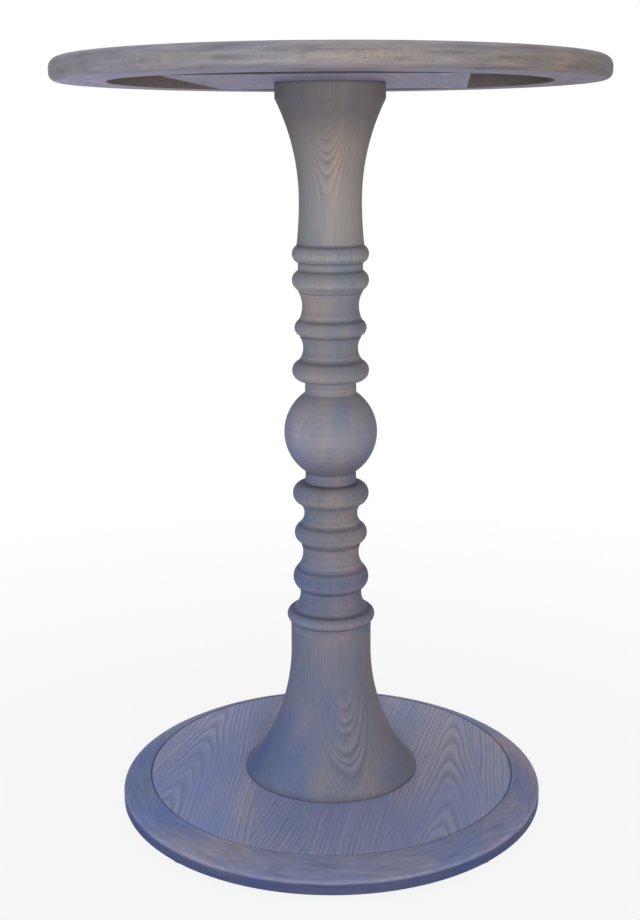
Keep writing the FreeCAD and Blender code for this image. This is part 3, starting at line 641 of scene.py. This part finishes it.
def bell_light_and_shade(tree, spot, fibre, colour):
    # Painted shadow: a dark line round the foot where it meets the panel.
    foot_shadow = near_levels(tree, spot, [bell_foot], foot_shadow_reach)
    return tinted(tree, foot_shadow, painted_side_light(tree, spot, colour, bell_sides), (0.35, 0.35, 0.38))


upright = (0.0, 0.0, 0.0)
# The foot is painted bluer and darker than the body, as painted blue light from low on the left and
# shade.
foot_blue = (0.170, 0.178, 0.234)
bell_grey = (0.188, 0.186, 0.226)
bell_grounds = [(bell_foot, foot_blue), (0.12, foot_blue), (0.262, bell_grey)]
bell_log = [(0.0, (0.065, -0.2415, 0.24), upright)]
bell_bared = ((0.026, -0.09, 0.120), (0.046, 0.30, 0.085))
bell_ash = grey_washed_ash("bell_ash", bell_grounds, bell_log, ring=0.0034, wander=0.010, vein=0.66,
                           mottle=0.85, bend=2.5, marks=bell_light_and_shade, bared=bell_bared)
cover("column_bell", bell_ash)

# Baluster: the middle of the column, turned from one ash blank with beads and hollows either side of a
# ball. Its tenons are glued into the bell and the flare. Painted shade darkens the quirks, painted
# highlights pale the crests and the lips of the hollows, and the left side is painted paler and bluer.
# Heights of the painted shade in the quirks, and of the painted highlights on the crests and on the lips.
quirks = [0.2765, 0.2945, 0.3255, 0.3565, 0.3915, 0.4215, 0.4530, 0.4840, 0.5005,
          0.6605, 0.6945, 0.7175, 0.7565, 0.7865, 0.7965, 0.8200]
crests = [0.2830, 0.3340, 0.4010, 0.4610, 0.6395, 0.7020, 0.7685, 0.8055]
lips = [0.3635, 0.3945, 0.4275, 0.4535, 0.6210, 0.6665, 0.6955, 0.7230, 0.7580]
quirk_reach = 0.0036
crest_reach = 0.0075
lip_reach = 0.0026
# Painted light: the left side paler and bluer.
baluster_sides = [(-0.018, -0.050, (1.10, 1.14, 1.26))]


def turned_marks_and_light(tree, spot, fibre, colour):
    height = part(tree, spot, "Z")
    tool = node(tree, "TexNoise", {"W": height, "Scale": 160.0, "Detail": 1.0}, noise_dimensions="1D")
    tool = ramp(tree, tool, [(0.3, 0.86), (0.5, 1.0), (0.7, 1.12)])
    colour = blend(tree, 0.3, colour, tool, "MULTIPLY")
    colour = painted_side_light(tree, spot, colour, baluster_sides)
    # Painted highlights on the crests and lips, broken up by the grain, and painted shade in the quirks.
    patchy = ramp(tree, fibre, [(0.32, 0.35), (0.62, 1.0)])
    crest = sums(tree, "MULTIPLY", near_levels(tree, spot, crests, crest_reach), patchy)
    lip = sums(tree, "MULTIPLY", near_levels(tree, spot, lips, lip_reach), patchy)
    colour = tinted(tree, crest, colour, (1.28, 1.23, 1.16))
    colour = tinted(tree, lip, colour, (1.30, 1.25, 1.20))
    return tinted(tree, near_levels(tree, spot, quirks, quirk_reach), colour, (0.70, 0.70, 0.74))


# Painted light and shade down the baluster: bluer and darker low down for blue light from low on the
# left, darker under the ball.
low_grey = (0.143, 0.153, 0.224)
hollow_grey = (0.205, 0.200, 0.245)
middle_grey = (0.190, 0.189, 0.220)
ball_foot_shade = (0.166, 0.166, 0.222)
ball_grey = (0.268, 0.260, 0.292)
upper_grey = (0.232, 0.220, 0.224)
head_grey = (0.280, 0.270, 0.270)
baluster_grounds = [(0.262, bell_grey), (0.345, low_grey), (0.375, hollow_grey), (0.40, middle_grey),
                    (0.45, middle_grey), (0.515, ball_foot_shade), (0.55, ball_grey), (0.66, upper_grey),
                    (0.82, head_grey)]
baluster_log = [(0.0, (0.03, 0.30, 0.5), upright)]
baluster_ash = grey_washed_ash("baluster_ash", baluster_grounds, baluster_log, ring=0.0040, wander=0.016,
                               vein=0.10, mottle=0.85, taper=0.03, marks=turned_marks_and_light)
cover("column_baluster", baluster_ash)

# Flare: the turned head of the column, waisted, opening to a short straight cap under the board.
# It is one ash blank, bored for the tie rod, with arched grain and a leaning pale streak on its front.
streak_foot = 0.860
streak_lean = 0.13
streak_reach = 0.011
flare_seams = [0.8205, 1.037]
seam_reach = 0.004


def flare_marks(tree, spot, fibre, colour):
    lean = sums(tree, "MULTIPLY_ADD", part(tree, spot, "Z"), -streak_lean, streak_foot * streak_lean)
    away = sums(tree, "ABSOLUTE", sums(tree, "ADD", part(tree, spot, "X"), lean))
    front = sums(tree, "LESS_THAN", part(tree, spot, "Y"), 0.0)
    streak = sums(tree, "MULTIPLY", fade(tree, away, 0.0, streak_reach), front)
    colour = tinted(tree, streak, colour, (1.14, 1.06, 1.01))
    return tinted(tree, near_levels(tree, spot, flare_seams, seam_reach), colour, (0.6, 0.6, 0.62))


# Painted shadow: the flare darkens from the throat into the cap, as the table top shades it.
waist_grey = (0.334, 0.304, 0.284)
throat_grey = (0.264, 0.238, 0.225)
cap_shadow_grey = (0.164, 0.150, 0.146)
flare_grounds = [(0.82, head_grey), (0.845, waist_grey), (0.88, waist_grey), (0.95, throat_grey),
                 (0.995, cap_shadow_grey), (1.037, cap_shadow_grey)]
flare_log = [(0.0, (-0.010, -0.086, 0.92), upright)]
flare_bared = ((-0.005, -0.055, 0.922), (0.032, 0.20, 0.055))
flare_ash = grey_washed_ash("flare_ash", flare_grounds, flare_log, ring=0.0041, wander=0.008, vein=0.50,
                            mottle=0.55, taper=-0.071, marks=flare_marks, bared=flare_bared)
cover("column_flare", flare_ash)

# Tie rod: a zinc plated steel rod through the whole column, with a rolled thread at each end.
# A nut on a washer at either end clamps the base panel, the bell, the baluster and the flare together.
rod_low, rod_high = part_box("tie_rod")
rod_radius = (rod_high.x - rod_low.x) / 2
rod_thread_depth = 0.0010
rod_root_radius = rod_radius - rod_thread_depth
rod_runout = 0.0005
rod_tip = 0.0010
rod_pitch = 0.00175
rod_turns = 14
shank_foot = rod_low.z + (rod_turns + 1) * rod_pitch
shank_top = rod_high.z - (rod_turns + 1) * rod_pitch
rod = bar("threaded_rod", thin_sides, rod_radius, shank_foot, shank_top)
for way, shank, end in ((1, shank_top, rod_high.z), (-1, shank_foot, rod_low.z)):
    pick_end(rod, way)
    draw_out([(rod_radius, shank), (rod_root_radius, shank + way * rod_runout),
              (rod_root_radius, end - way * rod_tip), (rod_root_radius - rod_tip, end)])
lower_thread = thread("rod_lower_thread", rod_radius, rod_pitch, rod_low.z + rod_pitch, rod_turns)
upper_thread = thread("rod_upper_thread", rod_radius, rod_pitch, shank_top, rod_turns)
hold(rod, lower_thread, upper_thread)
bpy.ops.object.join()
smooth(rod, zinc)
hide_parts("tie_rod")
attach(rod, "table")

nut_low, nut_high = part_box("tie_rod_lower_nut")
nut_width = 0.0180
nut_play = 0.00005
nut_bore = rod_radius + nut_play
mouth_flare = 0.0010
mouth_depth = 0.0006
nut = hexagon("tie_nut", nut_width, nut_low.z, nut_high.z)
drill = bar("nut_drill", thin_sides, nut_bore, nut_low.z + mouth_depth, nut_high.z - mouth_depth)
for way, end in ((1, nut_high.z), (-1, nut_low.z)):
    pick_end(drill, way)
    draw_out([(nut_bore, end - way * mouth_depth), (nut_bore + mouth_flare, end),
              (nut_bore + mouth_flare, end + way * hair)])
cut(nut, drill, "DIFFERENCE")
smooth(nut, zinc)
nut_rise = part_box("tie_rod_upper_nut")[0].z - nut_low.z
nuts = set_out(nut, ["tie_nut_lower", "tie_nut_upper"], [(0, 0, 0), (0, 0, nut_rise)])

washer_low, washer_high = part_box("tie_rod_lower_washer")
washer_radius = (washer_high.x - washer_low.x) / 2
washer_play = 0.0005
washer_hole = rod_radius + washer_play
washer_edge = 0.0004
washer = bar("flat_washer", wide_sides, washer_radius, washer_low.z, washer_high.z)
for way, end in ((1, washer_high.z), (-1, washer_low.z)):
    pick_end(washer, way)
    draw_out([(washer_radius, end), (washer_hole, end)])
for face in bmesh.from_edit_mesh(washer.data).faces:
    face.select_set(len(face.verts) > 4)
bmesh.update_edit_mesh(washer.data)
bpy.ops.mesh.bridge_edge_loops()
washer_rings = [(radius, end) for radius in (washer_radius, washer_hole)
                for end in (washer_low.z, washer_high.z)]
ease(washer, washer_rings, washer_edge, steps=3)
smooth(washer, zinc)
washer_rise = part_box("tie_rod_upper_washer")[0].z - washer_low.z
washers = set_out(washer, ["flat_washer_lower", "flat_washer_upper"], [(0, 0, 0), (0, 0, washer_rise)])
for place, nut, washer in zip(("lower", "upper"), nuts, washers):
    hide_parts(f"tie_rod_{place}_nut")
    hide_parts(f"tie_rod_{place}_washer")
    for piece in (nut, washer):
        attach(piece, "table")

# Mounting board: a rectangular ash board between the column and the top, a little off square.
# Countersunk zinc plated screws hold it down to the flare and up to the top panel.
board_turn = math.radians(-5)
# The lower face's pale lavender is partly painted light thrown up from below. Painted shade: the edges
# above it are almost black, as shade in the recess under the top.
board_pale = (0.290, 0.275, 0.385)
board_edge_shade = (0.075, 0.066, 0.068)
board_grounds = [(1.037, board_pale), (1.0374, board_pale), (1.0380, board_edge_shade), (1.055, board_edge_shade)]
board_log = [(0.0, (0.06, 0.0, 0.95), (level_lie, 0.0, board_turn))]
board_ash = grey_washed_ash("board_ash", board_grounds, board_log, ring=0.0055, wander=0.02, vein=0.22,
                            mottle=0.5, taper=0.02)
cover("mounting_board", board_ash)
cover("column_lag_screws", zinc)

screw_low, screw_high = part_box("mounting_board_screws")
screw_head_radius = 0.0042
screw_head_height = 0.0030
screw_head_land = 0.0002
screw_radius = 0.0021
screw_point_length = 0.0040
screw_tip_radius = 0.0002
cross_core = 0.0007
cross_arm = 0.0017
cross_depth = 0.0022
cross_overrun = 0.0005
cross_taper = 0.4
land_top = screw_low.z + screw_head_land
screw = bar("board_screw", thin_sides, screw_head_radius, screw_low.z, land_top)
draw_out([(screw_head_radius, land_top), (screw_radius, screw_low.z + screw_head_height),
          (screw_radius, screw_high.z - screw_point_length), (screw_tip_radius, screw_high.z)])
cross = bar("screw_cross", 4, cross_core, screw_low.z - cross_overrun, screw_low.z + cross_depth)
bpy.ops.mesh.select_all(action="DESELECT")
for face in bmesh.from_edit_mesh(cross.data).faces:
    face.select_set(abs(face.normal.z) < 0.5)
bmesh.update_edit_mesh(cross.data)
bpy.ops.mesh.extrude_faces_move(TRANSFORM_OT_shrink_fatten={"value": cross_arm})
pick_end(cross, 1)
bpy.ops.transform.resize(value=(cross_taper, cross_taper, 1), center_override=(0, 0, 0))
cut(screw, cross, "DIFFERENCE")
smooth(screw, zinc)
screw_across = 0.155
screw_along = 0.195015
screw_places = [Matrix.Rotation(board_turn, 3, "Z") @ Vector((side * screw_across, row * screw_along, 0))
                for side in (-1, 1) for row in (-1, 0, 1)]
screws = set_out(screw, [f"board_screw_{number}" for number in range(1, 7)], screw_places)
for screw in screws:
    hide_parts("mounting_board_screws")
    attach(screw, "table")

# Top panel: a thin disc of glued-up ash in the rabbet of the rim, washed above, left dark and bare below.
# Its grain runs front to back, and a fine V groove parts it from the rim.
top_groove = 0.331


def top_panel_groove_shade(tree, spot, fibre, colour):
    return painted_groove_shade(tree, spot, top_groove, colour)


top_grey = (0.255, 0.245, 0.252)
bare_brown = (0.235, 0.190, 0.170)
top_grounds = [(1.0556, bare_brown), (1.0566, top_grey)]
top_boards = [(-0.34, (-0.62, -0.2, 0.97), (level_lie, 0.0, math.radians(3))),
              (-0.20, (-0.13, 0.0, 1.03), (level_lie, 0.0, math.radians(176))),
              (-0.065, (0.30, 0.0, 0.98), (level_lie, 0.0, math.radians(2))),
              (0.07, (0.14, 0.0, 1.04), (level_lie, 0.0, math.radians(-3))),
              (0.205, (0.60, 0.0, 0.99), (level_lie, 0.0, math.radians(184)))]
top_ash = grey_washed_ash("top_panel_ash", top_grounds, top_boards, ring=0.0052, wander=0.030, vein=0.46,
                          mottle=0.6, taper=-0.13, marks=top_panel_groove_shade)
cover("top_panel", top_ash)

# Top rim: eight sawn segments of ash glued end to end, turned round on both edges and rabbeted inside.
# The grain follows each segment, no two of quite the same grey. Painted light makes the rim cooler on
# the left, darker on the right and pale lavender on its lower face, and the inner wall is bare wood
# darkened by painted shade.
top_first_joint = 17.5
inner_wall = 0.2982
wash_start = 0.2988
bare_wall_and_shade = (0.190, 0.160, 0.152)
# Painted light: cooler towards the left, darker towards the right and paler at the far left.
top_rim_sides = [(0.02, -0.22, (1.00, 1.02, 1.12)), (0.02, 0.22, (0.80, 0.77, 0.77)),
                 (-0.20, -0.34, (1.18, 1.18, 1.20))]


def top_rim_marks_and_light(tree, spot, fibre, colour):
    out = from_axis(tree, spot)
    washed = node(tree, "MapRange", {"Value": out, "From Min": inner_wall, "From Max": wash_start})
    colour = painted_side_light(tree, spot, wiped_round(tree, spot, colour, 0.26), top_rim_sides, washed)
    # The inner wall is darkened towards brown: bare wood, with painted shade of the recess over it.
    bare = sums(tree, "SUBTRACT", 1.0, washed)
    colour = tinted(tree, bare, colour, (0.70, 0.64, 0.64))
    colour = blend(tree, sums(tree, "MULTIPLY", bare, 0.7), colour, (*bare_wall_and_shade, 1))
    return painted_groove_shade(tree, spot, top_groove, colour)


# Segment tints: the fourth and fifth, on the left, are raised as painted light; the others differ at
# random.
rim_tints = [(1.0, 1.0, 1.0), (0.95, 0.96, 0.98), (1.04, 1.02, 1.0), (1.12, 1.13, 1.15),
             (1.10, 1.08, 1.07), (0.97, 0.97, 0.98), (1.02, 1.01, 1.01), (0.98, 0.97, 0.97)]
rim_crowns = [2, -3, 4, -2, 17, 3, -4, 2]
rim_veins = [0.16, 0.20, 0.16, 0.20, 0.26, 0.20, 0.13, 0.13]
# Painted light: the lower face pale lavender and the lower edge paler and pinker, as light thrown up from
# below makes them; the shoulder a touch darker.
ring_pale = (0.340, 0.312, 0.385)
under_edge = (0.290, 0.262, 0.262)
rim_face = (0.275, 0.258, 0.246)
rim_shoulder = (0.232, 0.226, 0.240)
rim_grounds = [(1.037, ring_pale), (1.0385, under_edge), (1.044, rim_face), (1.055, rim_face),
               (1.061, rim_shoulder), (1.067, top_grey)]
for number, tint, crown, vein in zip(segments, rim_tints, rim_crowns, rim_veins):
    grounds = [(level, tuple(shade * share for shade, share in zip(colour, tint)))
               for level, colour in rim_grounds]
    middle = top_first_joint + segment_angle * (number - 0.5) + crown
    board = segment_board(middle, radius=-0.012 * number, height=1.046)
    ash = grey_washed_ash(f"top_rim_ash_{number}", grounds, board, ring=0.0013, wander=0.005, vein=vein,
                          mottle=0.4, marks=top_rim_marks_and_light)
    cover(f"top_rim_segment_{number}", ash)

# Studio: a white floor with no edge in sight, a pale sky, broad soft lamps in front of the table, behind
# it and over it, and a faint blue one low on the left.


def in_view(tree):
    """One for the rays that come to the camera, straight, off a shiny face or through a clear one."""
    ray = tree.nodes.new("ShaderNodeLightPath").outputs
    mirrored = sums(tree, "MAXIMUM", ray["Is Glossy Ray"], ray["Is Transmission Ray"])
    return sums(tree, "MAXIMUM", ray["Is Camera Ray"], mirrored)


def white_floor():
    finish, tree, surface, spot = new_finish("white_floor")
    tree.nodes.remove(surface)
    distance = node(tree, "VectorMath", {0: spot}, out="Value", operation="LENGTH")
    far = node(tree, "MapRange", {"Value": distance, "From Min": 0.4, "From Max": 1.6, "To Min": 0.89})
    paint = node(tree, "BsdfDiffuse", {"Color": (0.42, 0.43, 0.48, 1)})
    glow = node(tree, "Emission", {"Color": (1, 1, 1, 1), "Strength": 1.0})
    mixed = node(tree, "MixShader", {0: sums(tree, "MULTIPLY", far, in_view(tree)), 1: paint, 2: glow})
    tree.links.new(mixed, tree.nodes["Material Output"].inputs["Surface"])
    return finish


let_go()
bpy.ops.mesh.primitive_circle_add(vertices=96, radius=40, fill_type="NGON")
floor = bpy.context.object
floor.name = "floor"
floor.data.materials.append(white_floor())

sky_low = 0.07
sky_high = 0.60
sky = bpy.data.worlds.new("sky")
bpy.context.scene.world = sky
sky.use_nodes = True
tree = sky.node_tree
backdrop = tree.nodes["Background"].inputs
rise = part(tree, node(tree, "TexCoord", out="Generated"), "Z")
overcast = node(tree, "MapRange", {"Value": rise, "To Min": sky_low, "To Max": sky_high})
backdrop["Color"].default_value = (1, 1, 1, 1)
tree.links.new(sums(tree, "MAXIMUM", in_view(tree), overcast), backdrop["Strength"])


def soft_lamp(name, place, target, width, spread, power, colour):
    """A round lamp of this width, aimed from its place at the target."""
    lamp = bpy.data.lights.new(name, "AREA")
    lamp.shape = "DISK"
    lamp.size = width
    lamp.spread = math.radians(spread)
    lamp.energy = power
    lamp.color = colour
    holder = bpy.data.objects.new(name, lamp)
    holder.location = place
    holder.rotation_mode = "QUATERNION"
    holder.rotation_quaternion = (Vector(target) - Vector(place)).to_track_quat("-Z", "Y")
    bpy.context.scene.collection.objects.link(holder)
    return holder


warm_white = (1.0, 0.985, 0.965)
soft_lamp("front_lamp", (0.24, -3.2, 0.75), (0, 0, 0.6), width=0.9, spread=180, power=70,
          colour=warm_white)
back_lamp = soft_lamp("back_lamp", (-0.10, 3.2, 0.45), (0, 0, 0.6), width=0.8, spread=180, power=32,
                      colour=warm_white)
back_lamp.visible_glossy = False
soft_lamp("top_lamp", (0.2, 0.3, 2.7), (0, 0, 1.0), width=1.2, spread=120, power=9,
          colour=(1.0, 0.99, 0.98))
soft_lamp("blue_lamp", (-1.7, -0.4, 0.32), (0, 0, 0.24), width=0.8, spread=75, power=1.5,
          colour=(0.25, 0.52, 1.0))

# Camera: as the photograph was taken, in front of the table and a little below its top, tipped down and
# a hair off level.
camera_place = (0, -1.881, 0.960)
camera_tip = 13.3
camera_swing = 0.47
camera_roll = -0.2
camera_data = bpy.data.cameras.new("camera")
camera_data.lens = 52.75
camera = bpy.data.objects.new("camera", camera_data)
camera.matrix_world = (Matrix.Translation(camera_place)
                       @ (Matrix.Rotation(math.radians(camera_swing), 4, "Z")
                          @ Matrix.Rotation(math.radians(90 - camera_tip), 4, "X")
                          @ Matrix.Rotation(math.radians(camera_roll), 4, "Z")))
bpy.context.scene.collection.objects.link(camera)
bpy.context.scene.camera = camera
bpy.context.scene.view_settings.view_transform = "Standard"
